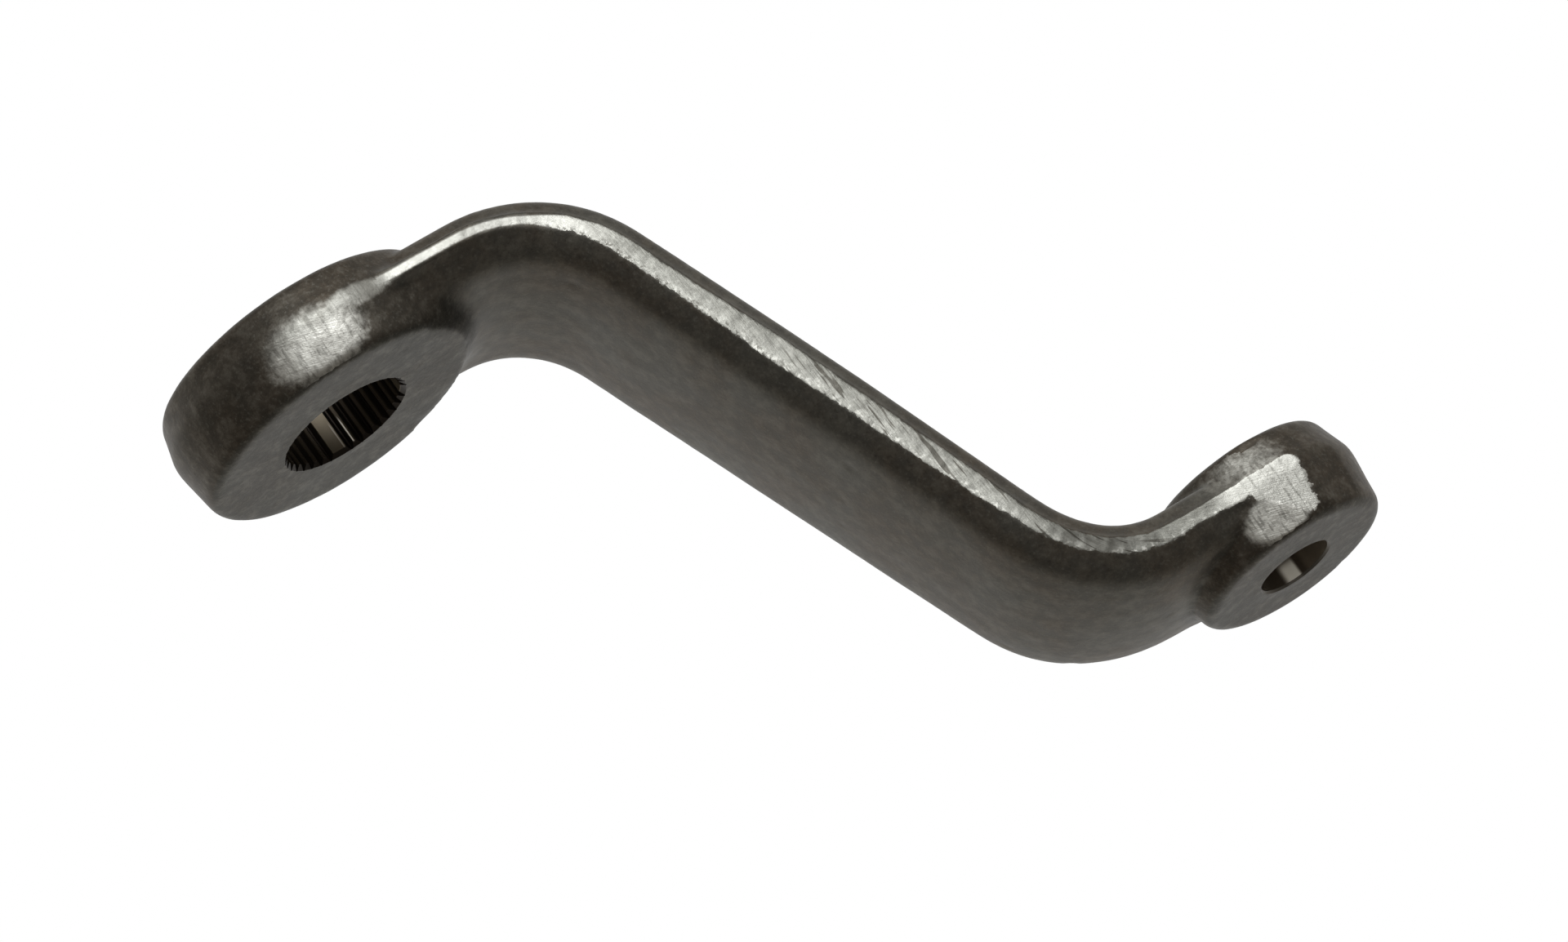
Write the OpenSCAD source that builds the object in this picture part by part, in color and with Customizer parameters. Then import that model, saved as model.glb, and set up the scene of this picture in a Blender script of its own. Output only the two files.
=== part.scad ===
// Dropped pitman arm: one drop forging with a serrated eye at the top and a tapered eye below.
// The origin is on the serrated bore's axis, halfway up the large eye. +X points to the small
// eye, +Z points up along the bore, and the arm steps down towards -Z.

/* [Arm] */
// Distance between the two hole axes, seen along them
arm_length = 156.5; // [150:0.5:174]
// How far the small eye sits below the large eye, middle to middle
arm_drop = 138.2; // [128:0.1:150]
// Radius of the upper bend, on the parting surface
upper_bend_r = 31; // [27:0.5:36]
// Radius of the lower bend, on the parting surface
lower_bend_r = 29.5; // [25:0.5:34]

/* [Large eye] */
// Diameter over the parting line
large_eye_d = 72; // [70:0.5:76]
// Height between its two flat faces
large_eye_h = 22.8; // [22:0.1:28]
// Height of the parting line above the middle of the eye
large_parting_z = 1.5; // [0:0.1:2.4]
// How much the wall leans in from the parting line to the lower face
large_under_draft = 1.2; // [0.8:0.1:2]
// How much the wall leans in from the parting line to the upper face
large_over_draft = 1.7; // [0.8:0.1:2.6]
// Radius of the rounded rims
large_rim_r = 2.8; // [2:0.1:3.6]

/* [Small eye] */
// Diameter over the parting line
small_eye_d = 50; // [47:0.5:52]
// Height between its two flat faces
small_eye_h = 24.4; // [23:0.1:28]
// Height of the parting line above the middle of the eye
small_parting_z = 1.6; // [0:0.1:2]
// How much the wall leans in from the parting line to the lower face
small_under_draft = 1.3; // [0.8:0.1:2]
// How much the wall leans in from the parting line to the upper face
small_over_draft = 2.1; // [0.8:0.1:3]
// Radius of the rounded rims
small_rim_r = 3; // [2:0.1:3.4]

/* [Shank] */
// Half width where the shank leaves the large eye, as a share of that eye's radius
shank_root_share = 0.83; // [0.78:0.01:0.92]
// Width over the parting line at the shoulder beside the large eye
shank_neck_w = 59; // [54:0.5:64]
// Width over the parting line at the end of the upper bend
shank_upper_w = 61; // [54:0.5:64]
// Width over the parting line at the start of the lower bend
shank_lower_w = 57.5; // [50:0.5:60]
// Thickness below the parting surface
shank_under_t = 7.8; // [7.4:0.1:9]
// Thickness above the parting surface
shank_over_t = 6.8; // [6.5:0.1:8]
// Extra thickness above the parting surface, halfway down the slope
shank_crown = 0.6; // [0:0.1:1.5]
// How far the broad faces swell out at the middle of their width
face_swell = 1.5; // [0:0.1:2]
// How far the parting land stands out past the shank's walls
parting_step = 1.6; // [0.8:0.1:2.2]
// How much further the parting land stands out beside the large eye
root_land = 3.2; // [0:0.1:4]
// Height of the trimmed land in the bends
land_h = 3.8; // [2.4:0.1:4.2]
// Height of the trimmed land halfway down the slope
land_slope_h = 6.4; // [4.4:0.1:6.8]
// Corner radius on the lower side
under_corner_r = 4.6; // [3:0.1:4.8]
// Corner radius on the upper side
over_corner_r = 4; // [2.5:0.1:4.2]
// Radius of the fillets where the shank meets the eyes
root_fillet_r = 2.6; // [1.5:0.1:3]

/* [Serrated bore] */
// Diameter over the tooth tips
spline_tip_d = 29.8; // [29:0.1:30.2]
// Diameter over the groove roots
spline_root_d = 32; // [31.6:0.1:33]
// Tooth pitches in the full circle
spline_pitches = 36; // [32:4:40]
// Wide teeth that set the arm's angle on its shaft, each in place of one groove
master_teeth = 4; // [0:2:4]
// Share of a pitch that each groove takes at the tooth tips
groove_share = 0.72; // [0.5:0.01:0.78]
// Length of the lead-in at each mouth
spline_lead = 1.1; // [0.6:0.1:1.5]

/* [Tapered hole] */
// Diameter at the lower face, where the ball stud goes in
stud_hole_d = 17.6; // [16:0.1:20]
// Length over which the hole's diameter loses one millimetre
stud_taper = 8; // [6:0.5:12]
// Size of the broken edges
stud_edge = 0.5; // [0.3:0.1:0.8]

/* [Hidden] */
$fn = 128;

large_r = large_eye_d / 2;
small_r = small_eye_d / 2;

// The parting surface: level in each eye, then two bends joined by a straight slope
bend_gap = 0.5;
shank_start_x = 10;
shank_end_gap = 4;
shank_end_x = arm_length - shank_end_gap;
upper_bend_x = large_r + bend_gap;
lower_bend_x = arm_length - small_r - bend_gap;
parting_top_z = large_parting_z;
parting_low_z = small_parting_z - arm_drop;
bend_run = lower_bend_x - upper_bend_x;
bend_fall = parting_top_z - parting_low_z;
bend_sum = upper_bend_r + lower_bend_r;
centre_gap = norm([bend_run, bend_fall - bend_sum]);
slope_len = sqrt(pow(centre_gap, 2) - pow(bend_sum, 2));
slope_deg = atan2(bend_fall - bend_sum, bend_run) + asin(bend_sum / centre_gap);

// Lengths along the parting surface at which each stretch ends
s_level = upper_bend_x - shank_start_x;
s_bend1 = s_level + upper_bend_r * slope_deg * PI / 180;
s_slope = s_bend1 + slope_len;
s_bend2 = s_slope + lower_bend_r * slope_deg * PI / 180;
s_end = s_bend2 + shank_end_x - lower_bend_x;

bend_rings = 14;
slope_rings = 8;
level_rings = 4;
corner_steps = 5;
face_steps = 6;
cut = 1;

// Half of the angle round each eye over which its root fillets run
large_reach = 48;
small_reach = 44;

// How far a root fillet's circle is let into the wall and the face that it joins
fillet_bite = 0.15;

function steps(a, b, n) = [for (i = [0:n - 1]) a + (b - a) * i / n];
function ease(u) = u * u * (3 - 2 * u);
function mix(a, b, u) = a + (b - a) * u;

// Centre of a section at length s: [x, z, angle below level]
function on_upper_bend(a) = [
    upper_bend_x + upper_bend_r * sin(a), parting_top_z - upper_bend_r * (1 - cos(a)), a
];
function on_lower_bend(a) = [
    lower_bend_x - lower_bend_r * sin(a), parting_low_z + lower_bend_r * (1 - cos(a)), a
];
function on_slope(d) = let (p = on_upper_bend(slope_deg)) [
    p[0] + d * cos(slope_deg), p[1] - d * sin(slope_deg), slope_deg
];
function place(s) =
    s <= s_level ? [shank_start_x + s, parting_top_z, 0] :
    s <= s_bend1 ? on_upper_bend((s - s_level) / upper_bend_r * 180 / PI) :
    s <= s_slope ? on_slope(s - s_bend1) :
    s <= s_bend2 ? on_lower_bend((s_bend2 - s) / lower_bend_r * 180 / PI) :
    [lower_bend_x + s - s_bend2, parting_low_z, 0];

// Half width over the parting land: runs out of the large eye and into the small one
large_root_w = shank_root_share * large_r;
small_root_w = 0.975 * small_r;
function half_width(s) =
    s <= s_level ? mix(large_root_w, shank_neck_w / 2, ease(s / s_level)) :
    s <= s_bend1 ? mix(shank_neck_w, shank_upper_w, ease((s - s_level) / (s_bend1 - s_level))) / 2 :
    s <= s_slope ? mix(shank_upper_w, shank_lower_w, (s - s_bend1) / slope_len) / 2 :
    mix(shank_lower_w / 2, small_root_w, ease(min(1, (s - s_slope) / (s_bend2 - s_slope))));

// Extra reach of the parting land: full beside the large eye, none from the upper bend on
land_fade_lead = 8;
land_fade_len = 32;
function land_reach(s) =
    root_land * (1 - ease(max(0, min(1, (s - s_level + land_fade_lead) / land_fade_len))));

// 1 halfway down the slope, 0 at both eyes
slope_zone = 0.64;
function on_slope_share(s) = ease(max(0, 1 - abs(2 * s / s_end - 1) / slope_zone));

function corner(y, n, r, from, to) = [
    for (i = [0:corner_steps]) let (a = mix(from, to, i / corner_steps))
        [y + r * cos(a), n + r * sin(a)]
];

// Points along a broad face between its two corners, from y = -from to y = from. It swells
// past n towards side, 1 being up and -1 down.
function broad_face(from, n, side) = [
    for (i = [1:face_steps - 1]) let (y = from * (2 * i / face_steps - 1))
        [y, n + side * face_swell * (1 - pow(y / from, 2))]
];

// Cross-section: swelled faces, round corners, drafted walls and a flat land on each side
function section(w, half_w, under, over, land) = let (
    r = under_corner_r,
    q = over_corner_r,
    h = land / 2,
    under_lean = atan(2 * face_swell / (w - r)),
    over_lean = atan(2 * face_swell / (w - q))
) concat(
    corner(w - r, r - under, r, under_lean - 90, 0),
    [[half_w, -h], [half_w, h]],
    corner(w - q, over - q, q, 0, 90 - over_lean),
    broad_face(q - w - q * sin(over_lean), over - q * (1 - cos(over_lean)), 1),
    corner(q - w, over - q, q, 90 + over_lean, 180),
    [[-half_w, h], [-half_w, -h]],
    corner(r - w, r - under, r, 180, 270 - under_lean),
    broad_face(w - r + r * sin(under_lean), r * (1 - cos(under_lean)) - under, -1)
);

function ring(s) = let (
    p = place(s),
    m = on_slope_share(s),
    w = half_width(s) - parting_step,
    half_w = half_width(s) + land_reach(s),
    land = mix(land_h, land_slope_h, m),
    pts = section(w, half_w, shank_under_t, shank_over_t + shank_crown * m, land)
) [
    for (q = pts) [p[0] + q[1] * sin(p[2]), q[0], p[1] + q[1] * cos(p[2])]
];

// One closed skin through every section from eye to eye
module shank() {
    stations = concat(
        steps(0, s_level, level_rings),
        steps(s_level, s_bend1, bend_rings),
        steps(s_bend1, s_slope, slope_rings),
        steps(s_slope, s_bend2, bend_rings),
        steps(s_bend2, s_end, level_rings),
        [s_end]
    );
    rings = [for (s = stations) ring(s)];
    count = len(rings[0]);
    last = len(rings) - 1;
    skin = [
        for (i = [0:last - 1], k = [0:count - 1]) let (
            a = i * count + k,
            b = i * count + (k + 1) % count
        ) each [[a, b + count, b], [a, a + count, b + count]]
    ];
    near_end = [[for (k = [0:count - 1]) k]];
    far_end = [[for (k = [0:count - 1]) (last + 1) * count - 1 - k]];
    polyhedron(points = [for (r = rings) each r], faces = concat(skin, near_end, far_end));
}

// Quarter of a circle from angle a to angle b, for turned profiles
function rim(x, z, r, a, b) = [for (i = [0:8]) let (t = mix(a, b, i / 8)) [x + r * cos(t), z + r * sin(t)]];

// Forged eye: two drafted walls that meet at the parting land, with rounded rims
module eye(r, h, parting, under_draft, over_draft, rim_r) {
    face_z = h / 2;
    half_land = land_h / 4;
    rotate_extrude()
        polygon(concat(
            [[0, -face_z]],
            rim(r - under_draft - rim_r, rim_r - face_z, rim_r, -90, 0),
            [[r, parting - half_land], [r, parting + half_land]],
            rim(r - over_draft - rim_r, face_z - rim_r, rim_r, 0, 90),
            [[0, face_z]]
        ));
}

// Hollow fillet in the corner between an eye's wall and the shank's face.
// side is 1 where the shank's upper face meets the wall and -1 under the shank.
module root_fillet(wall_r, face_z, side, reach) {
    f = root_fillet_r;
    c = f - fillet_bite;
    sunk = 2;
    rotate([0, 0, -reach])
        rotate_extrude(angle = 2 * reach)
            polygon(concat(
                [[wall_r - sunk, face_z - side * sunk], [wall_r - sunk, face_z + side * c]],
                [for (i = [0:6]) let (a = 180 + side * 15 * i)
                    [wall_r + c + f * cos(a), face_z + side * c + f * sin(a)]],
                [[wall_r + c, face_z - side * sunk]]
            ));
}

// Serrated bore: a round bore over the tooth tips, and a groove at every pitch but the wide teeth
module serrated_bore() {
    tip_r = spline_tip_d / 2;
    root_r = spline_root_d / 2;
    pitch = 360 / spline_pitches;
    master_every = master_teeth > 0 ? spline_pitches / master_teeth : 0;
    half_mouth = tip_r * sin(groove_share * pitch / 2);
    half_root = 0.18 * half_mouth;
    mouth_x = tip_r * cos(groove_share * pitch / 2) - 0.3;
    cylinder(r = tip_r, h = large_eye_h + 2 * cut, center = true);
    for (i = [0:spline_pitches - 1])
        if (master_teeth == 0 || i % master_every != 0)
            rotate([0, 0, i * pitch])
                linear_extrude(height = large_eye_h + 2 * cut, center = true)
                    polygon([
                        [mouth_x, -half_mouth], [root_r, -half_root],
                        [root_r, half_root], [mouth_x, half_mouth]
                    ]);
    mouth_lead();
    mirror([0, 0, 1]) mouth_lead();
}

// Conical lead-in at the upper mouth, from the groove roots down to the tooth tips
module mouth_lead() {
    tip_r = spline_tip_d / 2;
    lead_slope = (spline_root_d / 2 - tip_r) / spline_lead;
    translate([0, 0, large_eye_h / 2 - spline_lead])
        cylinder(r1 = tip_r, r2 = tip_r + lead_slope * (spline_lead + cut), h = spline_lead + cut);
}

// Tapered hole: wide end down, with a broken edge at each mouth
module stud_hole() {
    half = small_eye_h / 2;
    wide_r = stud_hole_d / 2;
    narrow_r = wide_r - small_eye_h / stud_taper / 2;
    lean = cut / stud_taper / 2;
    translate([0, 0, -half - cut])
        cylinder(r1 = wide_r + lean, r2 = narrow_r - lean, h = small_eye_h + 2 * cut);
    translate([0, 0, -half - cut])
        cylinder(r1 = wide_r + stud_edge + cut, r2 = wide_r - stud_edge, h = 2 * stud_edge + cut);
    translate([0, 0, half - stud_edge])
        cylinder(r1 = narrow_r, r2 = narrow_r + stud_edge + cut, h = stud_edge + cut);
}

module pitman_arm() {
    color("#54514c")
        difference() {
            union() {
                eye(
                    large_r, large_eye_h, large_parting_z,
                    large_under_draft, large_over_draft, large_rim_r
                );
                shank();
                root_fillet(
                    large_r - large_under_draft, large_parting_z - shank_under_t, -1, large_reach
                );
                translate([arm_length, 0, -arm_drop]) {
                    eye(
                        small_r, small_eye_h, small_parting_z,
                        small_under_draft, small_over_draft, small_rim_r
                    );
                    rotate([0, 0, 180]) {
                        root_fillet(
                            small_r - small_under_draft, small_parting_z - shank_under_t,
                            -1, small_reach
                        );
                        root_fillet(
                            small_r - small_over_draft, small_parting_z + shank_over_t,
                            1, small_reach
                        );
                    }
                }
            }
            serrated_bore();
            translate([arm_length, 0, -arm_drop]) stud_hole();
        }
}

pitman_arm();
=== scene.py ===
# %% [markdown]
# A pitman arm is the steel lever that turns a steering box's shaft into the sideways push of
# a drag link. This one is dropped: its shank falls about 138 mm between two round eyes.
# The CAD model is the frame of everything here. It is loaded first, it keeps its place, and
# the detailed forging below stands in for it. Lengths are written in millimetres and turned
# into metres by one factor.

# %% Load the frame
import math

import bmesh
import bpy
import numpy as np
from mathutils import Matrix, Vector, noise


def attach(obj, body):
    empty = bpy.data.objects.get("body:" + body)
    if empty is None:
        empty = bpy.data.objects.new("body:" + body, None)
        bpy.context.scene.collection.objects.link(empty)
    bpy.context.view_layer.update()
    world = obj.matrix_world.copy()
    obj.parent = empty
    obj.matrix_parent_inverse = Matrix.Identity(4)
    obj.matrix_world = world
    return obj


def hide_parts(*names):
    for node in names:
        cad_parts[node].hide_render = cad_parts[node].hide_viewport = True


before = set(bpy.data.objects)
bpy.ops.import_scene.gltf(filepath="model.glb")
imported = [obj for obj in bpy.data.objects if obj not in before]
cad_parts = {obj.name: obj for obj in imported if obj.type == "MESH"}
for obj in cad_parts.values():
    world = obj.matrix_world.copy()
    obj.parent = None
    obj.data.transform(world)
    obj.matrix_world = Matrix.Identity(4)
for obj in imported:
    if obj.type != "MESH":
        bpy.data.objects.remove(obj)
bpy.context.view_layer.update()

MM = 0.001

# %% [markdown]
# The camera stands 3 m away, a little below the arm and rolled, so that the shank runs down
# to the right as it does in the photograph. Three unit vectors give its turn: right, up and
# back. The long lens flattens the view, and the sensor is left at 36 mm.

# %% Camera
view_right = Vector((0.82276, -0.08143, -0.56253))
view_up = Vector((0.48322, -0.42089, 0.76769))
view_back = Vector((-0.29927, -0.90345, -0.30694))
camera_data = bpy.data.cameras.new("camera")
camera_data.lens = 315.97
camera = bpy.data.objects.new("camera", camera_data)
bpy.context.scene.collection.objects.link(camera)
turn = Matrix((view_right, view_up, view_back)).transposed().to_4x4()
camera.matrix_world = Matrix.Translation((-0.82315, -2.71070, -0.99258)) @ turn
bpy.context.scene.camera = camera
print("camera to arm:", round(camera.location.length, 3), "m")

# %% [markdown]
# Colours are written as sRGB hex values, as a paint chart gives them, and one function turns
# them linear for Blender. One more small function adds a shader node: its settings are named
# arguments, and its sockets take either a number or the socket that feeds them.

# %% Colour and node helpers
def linear(hex_colour):
    channels = [int(hex_colour[i:i + 2], 16) / 255 for i in (1, 3, 5)]
    return [c / 12.92 if c <= 0.04045 else ((c + 0.055) / 1.055) ** 2.4 for c in channels] + [1.0]


def add_node(tree, kind, sockets=None, **settings):
    node = tree.nodes.new(kind)
    for name, value in settings.items():
        setattr(node, name, value)
    for socket, value in (sockets or {}).items():
        if isinstance(value, bpy.types.NodeSocket):
            tree.links.new(value, node.inputs[socket])
        else:
            node.inputs[socket].default_value = value
    return node


def new_material(name):
    material = bpy.data.materials.new(name)
    material.use_nodes = True
    material.node_tree.nodes.clear()
    return material


print("mid scale grey in linear light:", [round(c, 3) for c in linear("#5b5955")[:3]])

# %% [markdown]
# Bare metal shows what stands round it more than it shows its own colour. The photograph was
# taken in front of a white backdrop with a darker room behind the camera: that is why the
# faces that turn towards the camera are the darkest. The world here is the same. Camera rays
# see plain white, metal sees that white wherever the backdrop would be, and the side behind
# the camera is dim.

# %% World
world = bpy.data.worlds.new("studio")
bpy.context.scene.world = world
world.use_nodes = True
tree = world.node_tree
tree.nodes.clear()
BACKDROP_SIDE = -view_back
DIM_ROOM, ROOM_LIGHT = 0.12, 0.4
direction = add_node(tree, "ShaderNodeTexCoord")
towards = add_node(tree, "ShaderNodeVectorMath",
                   {0: direction.outputs["Generated"], 1: BACKDROP_SIDE}, operation="DOT_PRODUCT")
share = add_node(tree, "ShaderNodeMapRange",
                 {"Value": towards.outputs["Value"], "From Min": -0.25, "From Max": 0.95})
rays = add_node(tree, "ShaderNodeLightPath")
mirror_rays = add_node(tree, "ShaderNodeMath",
                       {0: rays.outputs["Is Glossy Ray"], 1: rays.outputs["Is Transmission Ray"]},
                       operation="MAXIMUM")
shown_white = add_node(tree, "ShaderNodeMath",
                       {0: mirror_rays.outputs[0], 1: share.outputs["Result"]}, operation="MULTIPLY")
white_share = add_node(tree, "ShaderNodeMath",
                       {0: rays.outputs["Is Camera Ray"], 1: shown_white.outputs[0]},
                       operation="MAXIMUM")
elsewhere = add_node(tree, "ShaderNodeMapRange",
                     {"Value": mirror_rays.outputs[0], "To Min": ROOM_LIGHT, "To Max": DIM_ROOM})
strength = add_node(tree, "ShaderNodeMapRange",
                    {"Value": white_share.outputs[0], "To Min": elsewhere.outputs["Result"],
                     "To Max": 1.0})
tint = add_node(tree, "ShaderNodeMix", {"Factor": strength.outputs["Result"]}, data_type="RGBA")
tint.inputs[6].default_value = linear("#fff2e0")
tint.inputs[7].default_value = linear("#ffffff")
sky = add_node(tree, "ShaderNodeBackground",
               {"Color": tint.outputs[2], "Strength": strength.outputs["Result"]})
add_node(tree, "ShaderNodeOutputWorld", {"Surface": sky.outputs[0]})
print("world nodes:", len(tree.nodes))

# %% [markdown]
# One large softbox above and in front gives the ground metal its soft highlights. A low, pale
# floor lies well under the arm, which hangs by its shaft mount. The camera of the photograph
# looks up from under that floor, so the floor is made to show from above only. Rays that
# bounce off the metal pass through it too, and so meet the studio's white and dim sides.

# %% Softbox and floor
def add_softbox(name, where, size, power):
    data = bpy.data.lights.new(name, "AREA")
    data.shape = "RECTANGLE"
    data.size, data.size_y = size
    data.energy = power
    lamp = bpy.data.objects.new(name, data)
    bpy.context.scene.collection.objects.link(lamp)
    lamp.location = where
    lamp.rotation_mode = "QUATERNION"
    lamp.rotation_quaternion = (Vector((0.078, 0, -0.07)) - Vector(where)).to_track_quat("-Z", "Y")
    return lamp


add_softbox("softbox_above", (0.38, -1.78, 0.79), (1.5, 0.9), 20)

bm = bmesh.new()
bmesh.ops.create_circle(bm, cap_ends=True, segments=96, radius=2.0)
bmesh.ops.translate(bm, verts=bm.verts, vec=(0.078, 0, -0.42))
floor_mesh = bpy.data.meshes.new("floor")
bm.to_mesh(floor_mesh)
bm.free()
floor = bpy.data.objects.new("floor", floor_mesh)
bpy.context.scene.collection.objects.link(floor)
paper = new_material("matt_white_paper")
tree = paper.node_tree
seen = add_node(tree, "ShaderNodeNewGeometry")
sheet = add_node(tree, "ShaderNodeBsdfDiffuse", {"Color": linear("#efefed")})
clear = add_node(tree, "ShaderNodeBsdfTransparent")
rays = add_node(tree, "ShaderNodeLightPath")
let_through = add_node(tree, "ShaderNodeMath",
                       {0: seen.outputs["Backfacing"], 1: rays.outputs["Is Glossy Ray"]},
                       operation="MAXIMUM")
direct = add_node(tree, "ShaderNodeMath",
                  {0: rays.outputs["Is Camera Ray"], 1: rays.outputs["Is Transmission Ray"]},
                  operation="MAXIMUM")
glow = add_node(tree, "ShaderNodeMath", {0: direct.outputs[0], 1: 0.38}, operation="MULTIPLY")
lift = add_node(tree, "ShaderNodeEmission", {"Color": linear("#e9eef5"),
                                             "Strength": glow.outputs[0]})
lit_sheet = add_node(tree, "ShaderNodeAddShader", {0: sheet.outputs[0], 1: lift.outputs[0]})
one_sided = add_node(tree, "ShaderNodeMixShader",
                     {0: let_through.outputs[0], 1: lit_sheet.outputs[0], 2: clear.outputs[0]})
add_node(tree, "ShaderNodeOutputMaterial", {"Surface": one_sided.outputs[0]})
floor_mesh.materials.append(paper)

# %% [markdown]
# The sizes that the forging is worked from are the CAD model's own. A point on the shank is
# best described as a smith would: how far along the parting line it lies, how far above that
# line, and how far in from the trimmed edge. These three lengths carry all the later work.

# %% Sizes and the parting line
ARM_LENGTH, ARM_DROP = 156.5, 138.2
LARGE_R, LARGE_H, SMALL_R, SMALL_H = 36.0, 22.8, 25.0, 24.4
UPPER_BEND_R, LOWER_BEND_R = 31.0, 29.5
TOP_Z, LOW_Z = 1.5, 1.6 - ARM_DROP
UPPER_X, LOWER_X = LARGE_R + 0.5, ARM_LENGTH - SMALL_R - 0.5
START_X = 10.0

run, fall = LOWER_X - UPPER_X, TOP_Z - LOW_Z
bend_sum = UPPER_BEND_R + LOWER_BEND_R
centre_gap = math.hypot(run, fall - bend_sum)
SLOPE_LENGTH = math.sqrt(centre_gap ** 2 - bend_sum ** 2)
SLOPE = math.atan2(fall - bend_sum, run) + math.asin(bend_sum / centre_gap)
S_LEVEL = UPPER_X - START_X
S_BEND1 = S_LEVEL + UPPER_BEND_R * SLOPE
S_SLOPE = S_BEND1 + SLOPE_LENGTH
S_BEND2 = S_SLOPE + LOWER_BEND_R * SLOPE
slope_x = UPPER_X + UPPER_BEND_R * math.sin(SLOPE)
slope_z = TOP_Z - UPPER_BEND_R * (1 - math.cos(SLOPE))


def along_and_above(x, z):
    """Length along the parting line and height above it, in mm, for arrays of x and z."""
    turn1 = np.arctan2(x - UPPER_X, z - TOP_Z + UPPER_BEND_R)
    turn2 = np.arctan2(LOWER_X - x, LOW_Z + LOWER_BEND_R - z)
    down = (x - slope_x) * math.cos(SLOPE) - (z - slope_z) * math.sin(SLOPE)
    above = (x - slope_x) * math.sin(SLOPE) + (z - slope_z) * math.cos(SLOPE)
    on_top = (x <= UPPER_X) & (z > -60)
    on_low = (x >= LOWER_X) & (z < -80)
    in_bend1 = ~on_top & ~on_low & (down < 0)
    in_bend2 = ~on_top & ~on_low & (down > SLOPE_LENGTH)
    zones = [on_top, on_low, in_bend1, in_bend2]
    s = np.select(zones, [x - START_X, S_BEND2 + x - LOWER_X, S_LEVEL + UPPER_BEND_R * turn1,
                          S_BEND2 - LOWER_BEND_R * turn2], S_BEND1 + down)
    r1 = np.hypot(x - UPPER_X, z - TOP_Z + UPPER_BEND_R)
    r2 = np.hypot(LOWER_X - x, LOW_Z + LOWER_BEND_R - z)
    n = np.select(zones, [z - TOP_Z, z - LOW_Z, r1 - UPPER_BEND_R, LOWER_BEND_R - r2], above)
    return s, n


def ease(u):
    u = np.clip(u, 0, 1)
    return u * u * (3 - 2 * u)


def half_width(s):
    """Half the shank's width over its trimmed edge, in mm, widest beside the large eye."""
    neck = 29.88 + (29.5 - 29.88) * ease(s / S_LEVEL)
    bend = 29.5 + 1.0 * ease((s - S_LEVEL) / (S_BEND1 - S_LEVEL))
    slope = 30.5 - 1.75 * (s - S_BEND1) / SLOPE_LENGTH
    low = 28.75 + (24.38 - 28.75) * ease((s - S_SLOPE) / (S_BEND2 - S_SLOPE))
    spread = 3.2 * (1 - ease((s - S_LEVEL + 8) / 32))
    return spread + np.select([s <= S_LEVEL, s <= S_BEND1, s <= S_SLOPE], [neck, bend, slope], low)


S_END = S_BEND2 + ARM_LENGTH - 4 - LOWER_X


def half_land(s):
    """Half the height of the trimmed edge, in mm: tallest halfway down the slope."""
    return 1.9 + 1.3 * ease(1 - np.abs(2 * s / S_END - 1) / 0.64)


print("slope", round(math.degrees(SLOPE), 2), "degrees, parting line", round(float(S_END), 1), "mm")

# %% [markdown]
# A hammer forging has no knife-sharp edge: metal flows, and every corner that the die makes
# comes out soft. So the CAD node's mesh is copied, its loose triangles are merged, and the two
# holes are plugged with short cylinders. A voxel remesh then makes one even skin, and a few
# rounds of smoothing blend the shank into the eyes. Voxels of 0.8 mm keep it under the limit
# of triangles. The holes are cut afterwards, crisp, as the machine shop does.

# %% Rough forging
VOXEL = 0.8
bm = bmesh.new()
bm.from_mesh(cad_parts["pitman_arm"].data)
bmesh.ops.remove_doubles(bm, verts=bm.verts, dist=1e-6)
for radius, height, x, z in ((17.0, LARGE_H, 0, 0), (11.0, SMALL_H, ARM_LENGTH, -ARM_DROP)):
    plug = bmesh.ops.create_cone(bm, cap_ends=True, segments=96, radius1=radius * MM,
                                 radius2=radius * MM, depth=height * MM)
    bmesh.ops.translate(bm, verts=plug["verts"], vec=(x * MM, 0, z * MM))
mesh = bpy.data.meshes.new("forging")
bm.to_mesh(mesh)
bm.free()
forging = bpy.data.objects.new("forging_blank", mesh)
bpy.context.scene.collection.objects.link(forging)


def apply_modifiers(piece):
    """The piece with its modifiers made real, as a new mesh on the same object."""
    bpy.context.view_layer.update()
    done = bpy.data.meshes.new_from_object(
        piece.evaluated_get(bpy.context.evaluated_depsgraph_get()))
    piece.modifiers.clear()
    old, piece.data = piece.data, done
    bpy.data.meshes.remove(old)
    return done


skin = forging.modifiers.new("even_skin", "REMESH")
skin.mode = "VOXEL"
skin.voxel_size = VOXEL * MM
mesh = apply_modifiers(forging)
bm = bmesh.new()
bm.from_mesh(mesh)
for i in range(4):
    bmesh.ops.smooth_vert(bm, verts=bm.verts, factor=0.5, use_axis_x=True, use_axis_y=True,
                          use_axis_z=True)



def measure(bm):
    """Each vertex's place in mm, its path length, height above the path and inset."""
    places = np.array([v.co for v in bm.verts]) / MM
    s, n = along_and_above(places[:, 0], places[:, 2])
    return places, s, n, half_width(s) - np.abs(places[:, 1])


def soften(bm, chosen, rounds):
    some = [v for v, wanted in zip(bm.verts, chosen) if wanted]
    for i in range(rounds):
        bmesh.ops.smooth_vert(bm, verts=some, factor=0.5, use_axis_x=True, use_axis_y=True,
                              use_axis_z=True)


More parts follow.
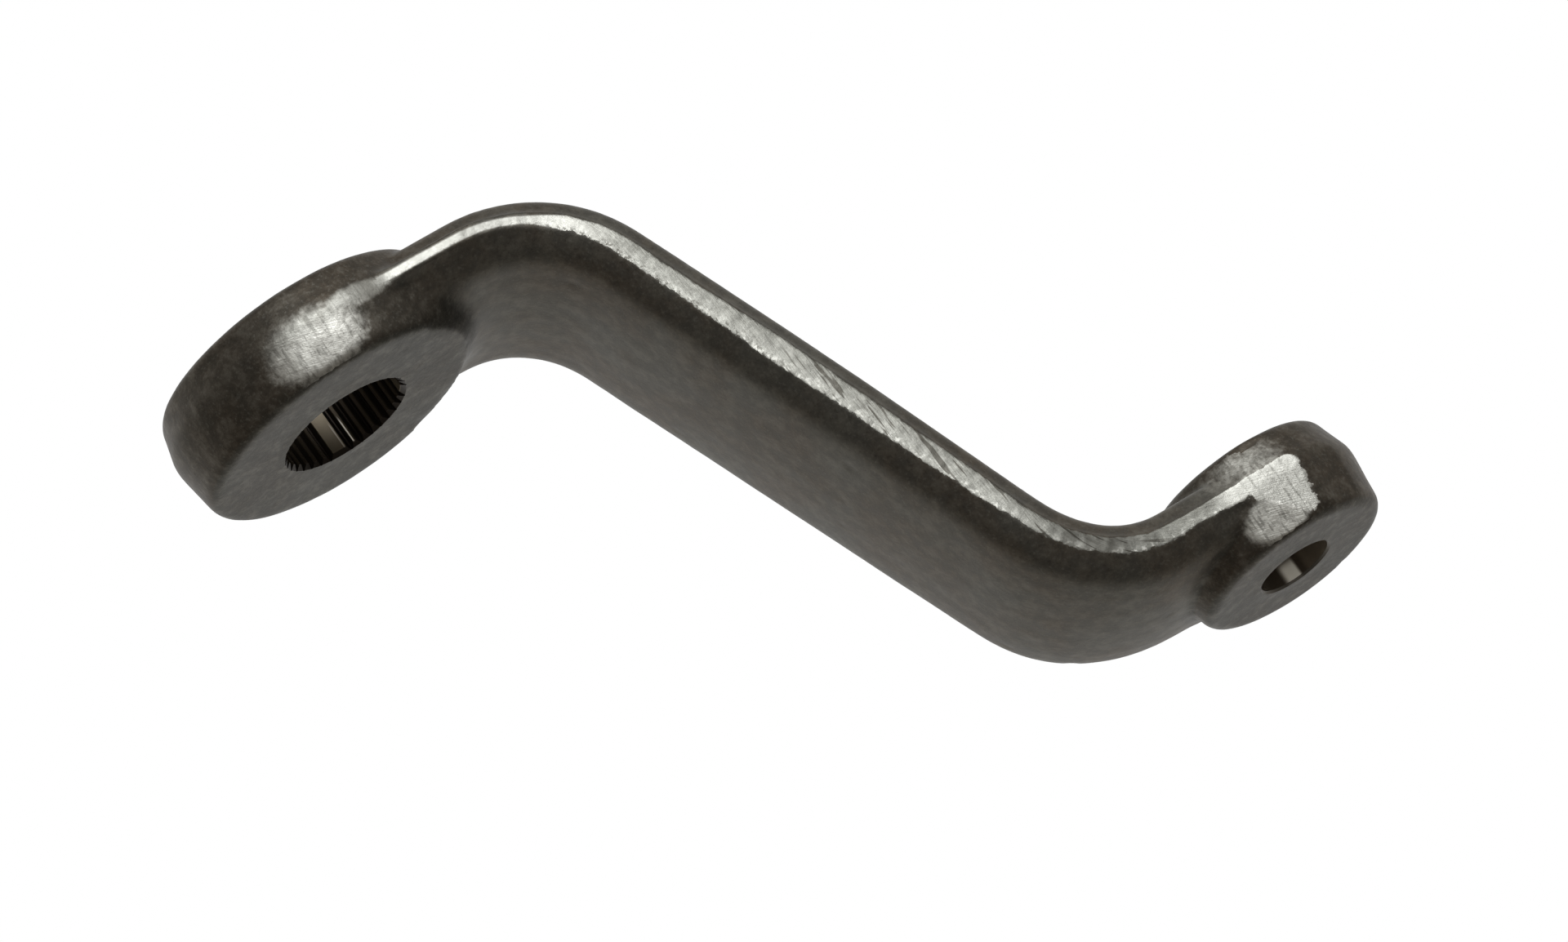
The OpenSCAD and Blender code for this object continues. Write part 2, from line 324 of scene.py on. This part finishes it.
places, s, n, inset = measure(bm)
from_large = np.hypot(places[:, 0], places[:, 1])
from_small = np.hypot(places[:, 0] - ARM_LENGTH, places[:, 1])
under_land = (n < -half_land(s) + 0.2) & (n > -half_land(s) - 3) & (inset < 5)
clear_of_eyes = (from_large > LARGE_R + 1) & (from_small > SMALL_R + 2)
soften(bm, under_land & clear_of_eyes, 30)
under_corner = (n < -half_land(s)) & (inset > 0.8) & (inset < 11)
soften(bm, under_corner & clear_of_eyes, 50)
for reach, rounds in ((7.0, 20), (4.0, 60)):
    root = (places[:, 0] > 20) & (places[:, 2] < TOP_Z - 3)
    soften(bm, root & (np.abs(from_large - LARGE_R - 0.5) < reach), rounds)
bm.to_mesh(mesh)
bm.free()
print("rough forging:", len(mesh.polygons), "faces")

# %% [markdown]
# Two cutters make the large bore. The first is turned: a plain bore over the tooth tips with
# a flared lead-in at each mouth. The second is the broach: a circle with four points to each
# tooth pitch, its groove points pushed out to the roots and its other points left on the tips,
# pulled out along the bore. Four of the 36 pitches keep their metal, and those are the master
# teeth. The stud hole's cutter is turned from a tapered profile.

# %% Bore cutters
TIP_R, ROOT_R, PITCHES, LEAD = 14.9, 16.0, 36, 1.1
GROOVE_SHARE, MASTER_EVERY = 0.72, 9


def turned_cutter(name, profile, x, z):
    """A closed solid turned from a profile of (radius, height) in mm that starts and ends on the axis."""
    bm = bmesh.new()
    points = [bm.verts.new((r * MM, 0, h * MM)) for r, h in profile]
    edges = [bm.edges.new(pair) for pair in zip(points, points[1:])]
    bmesh.ops.spin(bm, geom=points + edges, cent=(0, 0, 0), axis=(0, 0, 1), angle=2 * math.pi,
                   steps=128, use_merge=True)
    bmesh.ops.remove_doubles(bm, verts=bm.verts, dist=1e-7)
    bmesh.ops.recalc_face_normals(bm, faces=bm.faces)
    bmesh.ops.translate(bm, verts=bm.verts, vec=(x * MM, 0, z * MM))
    return cutter_object(name, bm)


def cutter_object(name, bm):
    for face in bm.faces:
        face.material_index = 1
    mesh = bpy.data.meshes.new(name)
    bm.to_mesh(mesh)
    bm.free()
    cutter = bpy.data.objects.new(name, mesh)
    bpy.context.scene.collection.objects.link(cutter)
    cutter.hide_render = True
    return cutter


half = LARGE_H / 2
flare = (ROOT_R - 0.15 - TIP_R) / LEAD
mouth = TIP_R + flare * (LEAD + 1)
bore_cutter = turned_cutter("bore_cutter", [
    (0, -half - 1), (mouth, -half - 1), (TIP_R, -half + LEAD), (TIP_R, half - LEAD),
    (mouth, half + 1), (0, half + 1)], 0, 0)

bm = bmesh.new()
bmesh.ops.create_circle(bm, cap_ends=True, segments=4 * PITCHES, radius=TIP_R * MM)
bm.verts.ensure_lookup_table()
pitch = 2 * math.pi / PITCHES
half_mouth = GROOVE_SHARE * pitch / 2
half_root = 0.18 * half_mouth * TIP_R / ROOT_R
for vert in bm.verts:
    angle = math.atan2(vert.co.y, vert.co.x) % (2 * math.pi)
    tooth, corner = divmod(round(angle / pitch * 4), 4)
    tooth, corner = (tooth + 1, -1) if corner == 3 else (tooth, corner)
    grooved = tooth % MASTER_EVERY != 0
    radius, offset = TIP_R, {-1: -half_mouth, 0: -half_root, 1: half_root, 2: half_mouth}[corner]
    if grooved and corner in (0, 1):
        radius = ROOT_R
    at = tooth * pitch + offset
    vert.co = Vector((radius * math.cos(at), radius * math.sin(at), vert.co.z / MM)) * MM
pulled = bmesh.ops.extrude_face_region(bm, geom=bm.faces[:])
bmesh.ops.translate(bm, verts=[v for v in pulled["geom"] if isinstance(v, bmesh.types.BMVert)],
                    vec=(0, 0, (LARGE_H + 2) * MM))
bmesh.ops.translate(bm, verts=bm.verts, vec=(0, 0, -(half + 1) * MM))
bmesh.ops.recalc_face_normals(bm, faces=bm.faces)
broach = cutter_object("broach", bm)

HOLE_R, HOLE_TAPER, HOLE_EDGE = 8.8, 1 / 16, 0.5
half = SMALL_H / 2
narrow = HOLE_R - SMALL_H * HOLE_TAPER
stud_cutter = turned_cutter("stud_cutter", [
    (0, -half - 1), (HOLE_R + HOLE_EDGE + 1, -half - 1), (HOLE_R - HOLE_EDGE * HOLE_TAPER, -half + HOLE_EDGE),
    (narrow, half - HOLE_EDGE), (narrow + HOLE_EDGE + 1, half + 1), (0, half + 1)],
    ARM_LENGTH, -ARM_DROP)
print("cutters:", bore_cutter.name, broach.name, stud_cutter.name)

# %% Cut the holes
forging.data.materials.append(None)
forging.data.materials.append(None)
for cutter in (bore_cutter, broach, stud_cutter):
    cutter.data.materials.append(None)
    cutter.data.materials.append(None)
    cut = forging.modifiers.new(cutter.name, "BOOLEAN")
    cut.operation = "DIFFERENCE"
    cut.solver = "MANIFOLD"
    cut.object = cutter
    mesh = apply_modifiers(forging)
    bpy.data.objects.remove(cutter)
print("bored forging:", len(mesh.polygons), "faces,",
      sum(p.material_index == 1 for p in mesh.polygons), "of them machined")

# %% [markdown]
# From here the skin is worked like clay, by moving its vertices inwards only, so the arm never
# outgrows its CAD size. First comes the die's own surface: it is worn, so forged faces swell
# and sink by a tenth of a millimetre over a centimetre or so. Then come a few handling dents.
# The machined holes are left alone.

# %% Forged surface
vertex_count = len(mesh.vertices)
points = np.zeros(vertex_count * 3)
mesh.vertices.foreach_get("co", points)
points = points.reshape(-1, 3) / MM
normals = np.zeros(vertex_count * 3)
mesh.vertices.foreach_get("normal", normals)
normals = normals.reshape(-1, 3)
from_large = np.hypot(points[:, 0], points[:, 1])
from_small = np.hypot(points[:, 0] - ARM_LENGTH, points[:, 1])
forged = ease((from_large - 16.4) / 2.5) * ease((from_small - 9.9) / 2.0)


def waves(places, size):
    """Smooth noise from 0 to 1 at each place, with swells about size mm across."""
    return np.array([0.5 + 0.5 * noise.noise(Vector(p / size)) for p in places])


depth = 0.14 * waves(points, 13.0) + 0.07 * waves(points + 50, 4.5)
dice = np.random.default_rng(5)
for centre in points[dice.integers(0, vertex_count, 70)]:
    size = dice.uniform(1.0, 2.0)
    away = np.linalg.norm(points - centre, axis=1)
    depth += 0.07 * size * np.clip(1 - (away / size) ** 2, 0, 1)
points -= normals * (depth * forged)[:, None]
print("forged surface: deepest", round(float((depth * forged).max()), 2), "mm")

# %% [markdown]
# Where the dies meet, metal squeezes out as flash. It is sheared off and the stub is ground
# by hand, which leaves flat spots on the round eyes. Each flat spot is one plane: whatever
# stands past it is moved back onto it, just as a grinding disc takes it off. How much was
# taken is kept as an attribute, so that the material can turn those spots bright.

# %% Ground flats on the eyes
# azimuth and tilt of each flat in degrees, then its distance in mm from the eye's axis and the
# height above the middle of the eye at which it has that distance
LARGE_FLATS = [(-87, -11, 35.0, -6), (-98, -12, 34.8, -6), (-109, -11, 35.0, -6)]
SMALL_FLATS = [(-90, 17.5, 24.3, 2.55), (90, 17.5, 24.3, 2.55), (-59, -7.5, 24.35, 0.6),
               (-98, -13, 23.45, -5.5)]
SMALL_FACET = [(-90, -5, 23.88, 0.6)]


def grind(points, flats, radius, x, z):
    """Moves the points of an eye's wall that stand behind each flat onto it, and returns how
    far past a flat each point stood."""
    deepest = np.full(len(points), -9.0)
    beyond = np.hypot(points[:, 0] - x, points[:, 1]) - radius
    on_wall = np.clip((0.6 - beyond) / 0.6, 0, 1) * (beyond > -4.5)
    angles = np.degrees(np.arctan2(points[:, 1], points[:, 0] - x))
    for azimuth, tilt, distance, height in flats:
        a, t = math.radians(azimuth), math.radians(tilt)
        out = np.array([math.cos(a) * math.cos(t), math.sin(a) * math.cos(t), math.sin(t)])
        on = np.array([x + distance * math.cos(a), distance * math.sin(a), z + height])
        past = np.where((np.abs(angles - azimuth) < 22) & (on_wall > 0), (points - on) @ out, -9)
        points -= out * (np.clip(past, 0, None) * on_wall)[:, None]
        deepest = np.maximum(deepest, past)
    return deepest


def relax(points, mesh, chosen, rounds):
    """Draws each chosen point halfway to the middle of its neighbours, several times."""
    ends = np.zeros(len(mesh.edges) * 2, int)
    mesh.edges.foreach_get("vertices", ends)
    first, second = ends.reshape(-1, 2).T
    count = np.bincount(ends, minlength=len(points))[:, None]
    for i in range(rounds):
        around = np.zeros_like(points)
        np.add.at(around, first, points[second])
        np.add.at(around, second, points[first])
        points[chosen] += 0.5 * (around / count - points)[chosen]


def patch(points, x, z, radius, azimuth, height, half_angle, half_height):
    """1 in the middle of an oval patch on an eye's wall, 0 on its border, negative outside."""
    angles = np.degrees(np.arctan2(points[:, 1], points[:, 0] - x))
    beyond = np.hypot(points[:, 0] - x, points[:, 1])
    level = (points[:, 2] - z - height) / half_height
    share = 1 - ((angles - azimuth) / half_angle) ** 2 - level ** 2
    return np.where(np.abs(beyond - radius) < 3.0, share, -9)


grind(points, LARGE_FLATS, LARGE_R, 0, 0)
grind(points, SMALL_FLATS, SMALL_R, ARM_LENGTH, -ARM_DROP)
facet_cut = grind(points, SMALL_FACET, SMALL_R, ARM_LENGTH, -ARM_DROP)
facet_cut[points[:, 2] + ARM_DROP > 2.55] = -9
# Bare patches round the ground flats on both eyes; the last and weakest, high on the small eye's wall, is a
# painted highlight.
polish_and_highlight = np.maximum.reduce([
    1.1 * patch(points, 0, 0, LARGE_R, -98, -4.0, 19.5, 7.8),
    1.2 * patch(points, 0, 0, LARGE_R, -76, 1.0, 15, 2.6),
    1.9 * patch(points, ARM_LENGTH, -ARM_DROP, SMALL_R, -101, -7.4, 20, 5.2),
    0.35 * patch(points, ARM_LENGTH, -ARM_DROP, SMALL_R, -102, 6.5, 22, 4.0)])
relax(points, mesh, (polish_and_highlight > -0.3) & (points[:, 2] > -40), 6)
for azimuth in (-90, 90):
    relax(points, mesh, patch(points, ARM_LENGTH, -ARM_DROP, SMALL_R, azimuth, 7, 30, 3.6) > 0, 20)
print("polished points:", int((polish_and_highlight > 0).sum()))

# %% [markdown]
# The trimmed edge runs down both sides of the shank. The shear and the disc take it back about
# half a millimetre, a little more here and less there, so its border wanders. Then six values
# are stored on the mesh for the material: the length along the path, the height above it,
# the same height as a share of the land's half height, how deep the disc cut, how far a point
# lies in the bare patches on the eyes, one of which is a painted highlight, and whether a point
# is on the shank or on an eye.

# %% Trimmed edge
TRIM = 0.5
along, above = along_and_above(points[:, 0], points[:, 2])
inset = half_width(along) - np.abs(points[:, 1])
across = above / half_land(along)
side = np.where(points[:, 1] > 0, 40.0, 0.0)
shear = np.array([noise.noise(Vector((s / 9, n / 14, w))) + 0.6 * noise.noise(Vector((s / 1.7, n / 3, w)))
                  for s, n, w in zip(along, above, side)])
on_shank = ease((from_large - LARGE_R - 0.1) / 1.5)
land_cut = np.where((np.abs(across) < 1.7) & (on_shank > 0), TRIM + 0.16 * shear - inset, -9.0)
points[:, 1] -= np.sign(points[:, 1]) * np.clip(land_cut, 0, None) * on_shank
on_eye = 1 - ease((np.minimum(from_large - LARGE_R, from_small - SMALL_R) + 1) / 3)
mesh.vertices.foreach_set("co", (points * MM).ravel())
for name, values in (("along", along), ("above", above), ("across", across),
                     ("ground", np.maximum(land_cut, facet_cut)), ("polish_and_highlight", polish_and_highlight),
                     ("eye", on_eye)):
    stored = mesh.attributes.new(name, "FLOAT", "POINT")
    stored.data.foreach_set("value", values.astype(np.float32))
mesh.update()
print("trimmed edge: land", round(2 * float(half_land(S_END / 2)), 1), "mm tall halfway down")

# %% [markdown]
# Faces are shaded smooth, and only the machined edges stay sharp.

# %% Shading
for polygon in mesh.polygons:
    polygon.use_smooth = True
bm = bmesh.new()
bm.from_mesh(mesh)
for edge in bm.edges:
    edge.smooth = not (len(edge.link_faces) == 2 and edge.calc_face_angle() > 0.55
                       and any(f.material_index == 1 for f in edge.link_faces))
bm.to_mesh(mesh)
bm.free()
print("sharp edges:", sum(e.use_edge_sharp for e in mesh.edges))

# %% [markdown]
# The forging is carbon steel, shot-blasted after it was trimmed. What is left of its scale is
# a thin dark oxide, so it is shaded as a metal that reflects only a tenth of the light, with
# the wide, soft gloss of a blasted surface, and that scatters a little as any oxide does. Its colour drifts between neutral grey and brown
# over a few centimetres, with speckles under a millimetre across, and a fine grain of bumps
# that the shot left. Where the stub of flash was sheared and ground, the bare steel shows
# bright, with streaks that run slantwise across the edge.

# %% Forged steel material
forged_steel = new_material("shot_blasted_forged_steel")
tree = forged_steel.node_tree
place = add_node(tree, "ShaderNodeTexCoord").outputs["Object"]


def stored_value(tree, name):
    return add_node(tree, "ShaderNodeAttribute", attribute_name=name).outputs["Fac"]


def noise_of(tree, place, per_mm, detail=2.0, rough=0.5):
    """Noise with one swell in every 1 / per_mm millimetres."""
    return add_node(tree, "ShaderNodeTexNoise", {
        "Vector": place, "Scale": per_mm / MM, "Detail": detail, "Roughness": rough}).outputs["Fac"]


def ramp(tree, value, start, end, low=0.0, high=1.0):
    return add_node(tree, "ShaderNodeMapRange", {
        "Value": value, "From Min": start, "From Max": end, "To Min": low, "To Max": high},
        interpolation_type="SMOOTHSTEP").outputs["Result"]


def math_of(tree, operation, a, b):
    return add_node(tree, "ShaderNodeMath", {0: a, 1: b}, operation=operation).outputs[0]


def blend_colours(tree, share, first, second):
    node = add_node(tree, "ShaderNodeMix", {"Factor": share}, data_type="RGBA")
    for socket, value in ((node.inputs[6], first), (node.inputs[7], second)):
        if isinstance(value, bpy.types.NodeSocket):
            tree.links.new(value, socket)
        else:
            socket.default_value = value
    return node.outputs[2]


drift = ramp(tree, noise_of(tree, place, 1 / 22, 3.0, 0.6), 0.35, 0.65)
speckle = noise_of(tree, place, 1 / 0.9, 3.0, 0.7)
scale_colour = blend_colours(tree, drift, linear("#66655f"), linear("#615b52"))
on_eye = stored_value(tree, "eye")
upwards = add_node(tree, "ShaderNodeSeparateXYZ", {
    0: add_node(tree, "ShaderNodeNewGeometry").outputs["Normal"]}).outputs[2]
on_wall = ramp(tree, math_of(tree, "ABSOLUTE", upwards, 0.0), 0.85, 0.5)
scale_colour = blend_colours(tree, math_of(tree, "MULTIPLY", on_eye, 0.5), scale_colour,
                             blend_colours(tree, on_wall, linear("#3e403d"), linear("#4b4136")))
mottle = noise_of(tree, place, 1 / 3.2, 3.0, 0.65)
dark_mottle = blend_colours(tree, on_eye, linear("#4e4e4b"), linear("#3a3935"))
scale_colour = blend_colours(tree, ramp(tree, mottle, 0.35, 0.62, 0.5, 0.0), scale_colour,
                             dark_mottle)
light_mottle = math_of(tree, "MULTIPLY", ramp(tree, mottle, 0.5, 0.7),
                       ramp(tree, on_eye, 0.0, 1.0, 0.3, 0.42))
scale_colour = blend_colours(tree, light_mottle, scale_colour, linear("#77756e"))
scale_colour = blend_colours(tree, ramp(tree, speckle, 0.5, 0.75, 0.0, 0.5), scale_colour,
                             linear("#807f78"))
scale_colour = blend_colours(tree, ramp(tree, speckle, 0.45, 0.28, 0.0, 0.5), scale_colour,
                             linear("#443f39"))

along_path = stored_value(tree, "along")
above_path = stored_value(tree, "above")
cut_depth = stored_value(tree, "ground")
ragged = math_of(tree, "SUBTRACT", noise_of(tree, place, 1 / 1.6, 3.0, 0.6), 0.5)
low_side = ramp(tree, stored_value(tree, "across"), 0.9, -0.9)
torn = math_of(tree, "MULTIPLY", ragged, ramp(tree, low_side, 0.0, 1.0, 0.3, 0.9))
trimmed = ramp(tree, math_of(tree, "ADD", cut_depth, torn), -0.03, 0.06)
reach = math_of(tree, "SUBTRACT", ramp(tree, along_path, 40.0, 64.0, 0.5, 1.8),
                math_of(tree, "ABSOLUTE", stored_value(tree, "across"), 0.0))
reach = math_of(tree, "ADD", reach, ramp(tree, along_path, 70.0, 80.0, 0.0, 9.0))
trimmed = math_of(tree, "MULTIPLY", trimmed, ramp(tree, reach, -0.15, 0.15))
# Bare patches on the eyes with ragged borders; the weak one high on the small eye's wall is a painted highlight.
polish_and_highlight = math_of(tree, "ADD", stored_value(tree, "polish_and_highlight"), math_of(tree, "MULTIPLY", ragged, 1.1))
rubbed_away = noise_of(tree, place, 1 / 2.6, 3.0, 0.6)
polished_and_highlit = math_of(tree, "MULTIPLY", ramp(tree, polish_and_highlight, -0.35, 0.75, 0.0, 0.95),
                   ramp(tree, rubbed_away, 0.36, 0.55, 0.75, 1.0))
bare = math_of(tree, "MAXIMUM", trimmed, polished_and_highlit)

slanted = math_of(tree, "ADD", above_path, math_of(tree, "MULTIPLY", along_path, 0.33))


def streaks_of(length, width, offset):
    """Noise drawn out into slanting scratches, with their length and width in mm."""
    stretched = add_node(tree, "ShaderNodeCombineXYZ", {
        0: math_of(tree, "MULTIPLY", along_path, 1 / length),
        1: math_of(tree, "MULTIPLY", slanted, 1 / width), 2: offset}).outputs[0]
    return add_node(tree, "ShaderNodeTexNoise", {
        "Vector": stretched, "Scale": 1.0, "Detail": 2.0, "Roughness": 0.6}).outputs["Fac"]


streaks = streaks_of(4.0, 0.35, 0.0)
gouges = math_of(tree, "MULTIPLY", ramp(tree, streaks_of(14.0, 1.5, 9.0), 0.57, 0.62),
                 ramp(tree, along_path, 95.0, 115.0))
gouges = math_of(tree, "MULTIPLY", gouges, ramp(tree, along_path, S_END - 20, S_END - 28))
on_low_edge = math_of(tree, "MULTIPLY", ramp(tree, stored_value(tree, "across"), 0.0, -0.9),
                      ramp(tree, on_eye, 0.6, 0.2))
chips = math_of(tree, "MULTIPLY", ramp(tree, noise_of(tree, place, 1 / 1.3, 3.0, 0.6), 0.5, 0.64),
                on_low_edge)
# Bare steel is lighter along its streaks and mottle, and along the land's lower edge by a painted highlight.
streaks_and_sheen = math_of(tree, "ADD", math_of(tree, "MULTIPLY", ramp(tree, streaks, 0.3, 0.7), 0.35),
                math_of(tree, "MULTIPLY", low_side, 0.35))
streaks_and_sheen = math_of(tree, "ADD", streaks_and_sheen, math_of(tree, "MULTIPLY", ramp(tree, mottle, 0.35, 0.65), 0.3))
bare_colour = blend_colours(tree, streaks_and_sheen, linear("#5f5f59"), linear("#a9aaa4"))
# Painted sheen: the bare steel is made lighter towards both eyes, most before the upper bend.
sheen_before_upper_bend = math_of(tree, "MULTIPLY", ramp(tree, along_path, 46.0, 64.0, 0.8, 0.12),
                     ramp(tree, on_eye, 0.0, 1.0, 1.0, 0.6))
sheen_near_eyes = math_of(tree, "ADD", sheen_before_upper_bend,
                    ramp(tree, along_path, S_END - 12, S_END - 5, 0.0, 0.75))
bare_colour = blend_colours(tree, sheen_near_eyes, bare_colour, linear("#cfd0ca"))
# Painted shade: the bare steel is darkened around the lower bend.
shade_at_lower_bend = math_of(tree, "MULTIPLY", ramp(tree, along_path, S_END - 42.0, S_END - 26.0),
                    ramp(tree, along_path, S_END - 8.0, S_END - 16.0))
bare_colour = blend_colours(tree, math_of(tree, "MULTIPLY", shade_at_lower_bend, 0.4), bare_colour,
                            linear("#55554f"))
# Painted highlight: on the eyes, below the parting line and off the cut facet, the bare steel is made nearly
# white.
highlight_below_facet = math_of(tree, "MULTIPLY", ramp(tree, above_path, -1.0, -4.5, 0.0, 1.0), on_eye)
highlight_below_facet = math_of(tree, "MULTIPLY", highlight_below_facet, ramp(tree, trimmed, 1.0, 0.0))
bare_colour = blend_colours(tree, highlight_below_facet, bare_colour, linear("#ecede7"))
bare_colour = blend_colours(tree, math_of(tree, "MULTIPLY", chips, 0.7), bare_colour,
                            linear("#e2e3dd"))
nicks = math_of(tree, "MULTIPLY", ramp(tree, noise_of(tree, place, 1 / 1.1, 2.0, 0.6), 0.53, 0.6),
                math_of(tree, "MULTIPLY", on_low_edge, ramp(tree, along_path, 120.0, 100.0)))
marks = math_of(tree, "MAXIMUM", gouges, nicks)
bare_colour = blend_colours(tree, math_of(tree, "MULTIPLY", marks, 0.75), bare_colour,
                            linear("#45423b"))
upright = add_node(tree, "ShaderNodeMapping", {0: place, 3: (1.0, 1.0, 0.06)}).outputs[0]
disc_lines = math_of(tree, "MULTIPLY", ramp(tree, noise_of(tree, upright, 1 / 0.8), 0.48, 0.7), on_eye)
bare_colour = blend_colours(tree, math_of(tree, "MULTIPLY", disc_lines, 0.55), bare_colour,
                            linear("#66655f"))
# Painted highlight: a thin near-white line along the border of the ground facets on the eyes, below the parting
# line.
border = math_of(tree, "MULTIPLY", trimmed, math_of(tree, "SUBTRACT", 1.0, trimmed))
border = math_of(tree, "MULTIPLY", ramp(tree, border, 0.05, 0.2), ramp(tree, above_path, -2.5, -3.5))
bare_colour = blend_colours(tree, math_of(tree, "MULTIPLY", border, on_eye), bare_colour,
                            linear("#fafaf5"))
colour = blend_colours(tree, bare, scale_colour, bare_colour)

roughness = math_of(tree, "ADD", ramp(tree, bare, 0.0, 1.0, 0.5, 0.46),
                    math_of(tree, "MULTIPLY", math_of(tree, "SUBTRACT", speckle, 0.5), 0.25))
height = math_of(tree, "ADD", math_of(tree, "MULTIPLY", mottle, ramp(tree, on_eye, 0.0, 1.0, 0.05, 0.11)),
                 math_of(tree, "MULTIPLY", speckle, 0.035))
height = math_of(tree, "ADD", height,
                 math_of(tree, "MULTIPLY", math_of(tree, "MULTIPLY", streaks, bare), 0.04))
grain = add_node(tree, "ShaderNodeBump", {"Height": height, "Strength": 1.0, "Distance": MM})
steel = add_node(tree, "ShaderNodeBsdfPrincipled", {
    "Base Color": colour, "Metallic": ramp(tree, bare, 0.0, 1.0, 0.88, 1.0),
    "Roughness": roughness, "Normal": grain.outputs[0]})
add_node(tree, "ShaderNodeOutputMaterial", {"Surface": steel.outputs[0]})
print("forged steel:", len(tree.nodes), "nodes")

# %% [markdown]
# The holes are machined. The grooves are coloured darker than the tooth tips and the wide
# master teeth lighter, so the colour goes by the distance from the bore's axis and by the
# angle round it. Two thin lines on the teeth and a crescent in the stud hole are painted highlights.

# %% Machined steel material
machined_steel = new_material("broached_and_reamed_steel")
tree = machined_steel.node_tree
place = add_node(tree, "ShaderNodeTexCoord").outputs["Object"]
parts = add_node(tree, "ShaderNodeSeparateXYZ", {0: place})
radius = math_of(tree, "SQRT", math_of(tree, "ADD",
    math_of(tree, "MULTIPLY", parts.outputs[0], parts.outputs[0]),
    math_of(tree, "MULTIPLY", parts.outputs[1], parts.outputs[1])), 0.0)
smallest = math_of(tree, "MINIMUM", math_of(tree, "ABSOLUTE", parts.outputs[0], 0.0),
                   math_of(tree, "ABSOLUTE", parts.outputs[1], 0.0))
master = math_of(tree, "MULTIPLY", ramp(tree, smallest, 1.75 * MM, 1.6 * MM),
                 ramp(tree, radius, 15.05 * MM, 14.98 * MM))
grooves = ramp(tree, radius, 14.95 * MM, 15.25 * MM)
bore_colour = blend_colours(tree, grooves, linear("#4d463c"), linear("#2b2621"))
bore_colour = blend_colours(tree, master, bore_colour, linear("#7d7566"))
angle = math_of(tree, "ARCTAN2", parts.outputs[1], parts.outputs[0])
# Painted highlights: two thin pale lines on tooth tips in the large bore, at fixed angles round its axis and below
# its middle, with less metallic steel so they show light.
glint_lines = []
for glint_angle, glint_strength in ((75.6, 1.0), (84.9, 0.4)):
    glint_line = math_of(tree, "COMPARE", angle, math.radians(glint_angle))
    glint_line.node.inputs[2].default_value = math.radians(0.6)
    glint_lines.append(math_of(tree, "MULTIPLY", glint_line, glint_strength))
glint = math_of(tree, "MULTIPLY", math_of(tree, "MAXIMUM", *glint_lines),
                ramp(tree, radius, 15.2 * MM, 15.1 * MM))
glint = math_of(tree, "MULTIPLY", glint, ramp(tree, parts.outputs[2], -3.0 * MM, -6.0 * MM))
bore_colour = blend_colours(tree, glint, bore_colour, linear("#f2efe6"))
off_middle = math_of(tree, "ABSOLUTE", parts.outputs[2], 0.0)
bore_colour = blend_colours(tree, ramp(tree, off_middle, 10.2 * MM, 10.5 * MM), bore_colour,
                            linear("#2b2621"))
in_small = ramp(tree, parts.outputs[0], 0.10, 0.11)
hole_angle = math_of(tree, "ARCTAN2", parts.outputs[1],
                     math_of(tree, "SUBTRACT", parts.outputs[0], ARM_LENGTH * MM))
hole_height = math_of(tree, "ADD", parts.outputs[2], ARM_DROP * MM)
# Painted highlight: a pale crescent on the stud hole's wall, placed by angle round the hole and by height, with
# less metallic steel.
painted_hole_highlight = math_of(tree, "MULTIPLY", ramp(tree, hole_angle, math.radians(65.5), math.radians(72)),
                 ramp(tree, hole_angle, math.radians(99), math.radians(86)))
painted_hole_highlight = math_of(tree, "MULTIPLY", painted_hole_highlight, ramp(tree, hole_height, -6.0 * MM, -9.0 * MM))
painted_hole_highlight = math_of(tree, "MULTIPLY", painted_hole_highlight, in_small)
hole_colour = blend_colours(tree, ramp(tree, hole_angle, math.radians(62), math.radians(50)),
                            linear("#5d554b"), linear("#857b6d"))
bore_colour = blend_colours(tree, in_small, bore_colour, hole_colour)
bore_colour = blend_colours(tree, painted_hole_highlight, bore_colour, linear("#eae8df"))
mouth_depth = math_of(tree, "ABSOLUTE", hole_height, 0.0)
on_mouth = math_of(tree, "MULTIPLY", in_small,
                   ramp(tree, mouth_depth, (SMALL_H / 2 - 0.6) * MM, (SMALL_H / 2 - 0.5) * MM))
bore_colour = blend_colours(tree, on_mouth, bore_colour, linear("#56534d"))
cut_lines = add_node(tree, "ShaderNodeTexNoise", {
    "Vector": add_node(tree, "ShaderNodeMapping", {0: place, 3: (1.0, 1.0, 0.05)}).outputs[0],
    "Scale": 1 / (0.5 * MM), "Detail": 2.0}).outputs["Fac"]
scratches = add_node(tree, "ShaderNodeBump", {
    "Height": cut_lines, "Strength": ramp(tree, in_small, 0.0, 1.0, 0.3, 0.0),
    "Distance": 0.05 * MM})
steel = add_node(tree, "ShaderNodeBsdfPrincipled", {
    "Base Color": bore_colour, "Metallic": ramp(tree, math_of(tree, "MAXIMUM", painted_hole_highlight, glint), 0.0, 1.0, 0.8, 0.3),
    "Roughness": 0.4, "Normal": scratches.outputs[0]})
add_node(tree, "ShaderNodeOutputMaterial", {"Surface": steel.outputs[0]})
mesh.materials[0] = forged_steel
mesh.materials[1] = machined_steel
print("machined steel:", len(tree.nodes), "nodes")

# %% [markdown]
# The finished piece gets its name, replaces the plain CAD node and rides on the one body.

# %% Name and attach the piece
forging.name = "forged_pitman_arm"
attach(forging, "root")
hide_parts("pitman_arm")
bpy.context.scene.view_settings.view_transform = "Standard"
